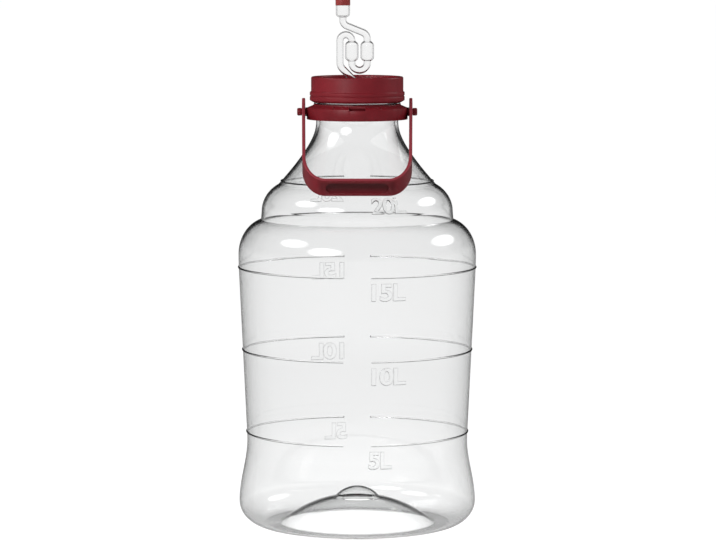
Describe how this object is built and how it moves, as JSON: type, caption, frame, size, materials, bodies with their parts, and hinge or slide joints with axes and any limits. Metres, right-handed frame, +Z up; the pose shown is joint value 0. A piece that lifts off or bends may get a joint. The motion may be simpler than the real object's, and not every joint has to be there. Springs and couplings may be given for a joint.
{
  "type": "plastic carboy with airlock and swing handle",
  "caption": "Clear blown plastic carboy with raised volume rings, a screw cap with an airlock, and a swing handle on a clip-fit neck collar.",
  "frame": {"origin": "centre of the standing ring, on the surface the carboy stands on", "axes": "+Z up along the bottle's axis, -Y the front where the handle rests on the shoulder, X along the handle's trunnions"},
  "size_m": [0.2734, 0.2716, 0.6023],
  "materials": {
    "clear_pet": "clear blown plastic",
    "red_cap": "satin moulded",
    "liner_foam": "soft foam",
    "grommet_rubber": "matt",
    "clear_airlock": "clear moulded",
    "red_dust_cap": "gloss moulded",
    "red_collar": "semi-gloss moulded",
    "red_handle": "semi-gloss moulded"
  },
  "bodies": {
    "carboy": {"bottle": "clear_pet"},
    "collar": {"neck_collar": "red_collar"},
    "bail": {"handle": "red_handle"},
    "liner": {"cap_liner": "liner_foam"},
    "lid": {"cap": "red_cap", "airlock_grommet": "grommet_rubber"},
    "bubbler": {"airlock": "clear_airlock"},
    "dust_cap": {"airlock_dust_cap": "red_dust_cap"}
  },
  "joints": [
    {"name": "collar_turn", "type": "hinge", "parent": "carboy", "child": "collar", "pos_m": [0, 0, 0.47431], "axis": [0, 0, 1], "continuous": true},
    {"name": "handle_swing", "type": "hinge", "parent": "collar", "child": "bail", "pos_m": [0, 0, 0.47431], "axis": [-1, 0, 0], "range_deg": [0, 253.4]},
    {"name": "cap_lift", "type": "slide", "parent": "carboy", "child": "liner", "axis": [0, 0, 1], "range_m": [0, 0.0068]},
    {"name": "cap_turn", "type": "hinge", "parent": "liner", "child": "lid", "pos_m": [0, 0, 0.498], "axis": [0, 0, 1], "range_deg": [0, 540]},
    {"name": "airlock_pull", "type": "slide", "parent": "lid", "child": "bubbler", "axis": [0, 0, 1], "range_m": [0, 0.035]},
    {"name": "dust_cap_pull", "type": "slide", "parent": "bubbler", "child": "dust_cap", "axis": [0, 0, 1], "range_m": [0, 0.012]}
  ],
  "couplings": [
    {"joint": "cap_lift", "follows": "cap_turn", "m_per_rad": 0.0007162}
  ]
}
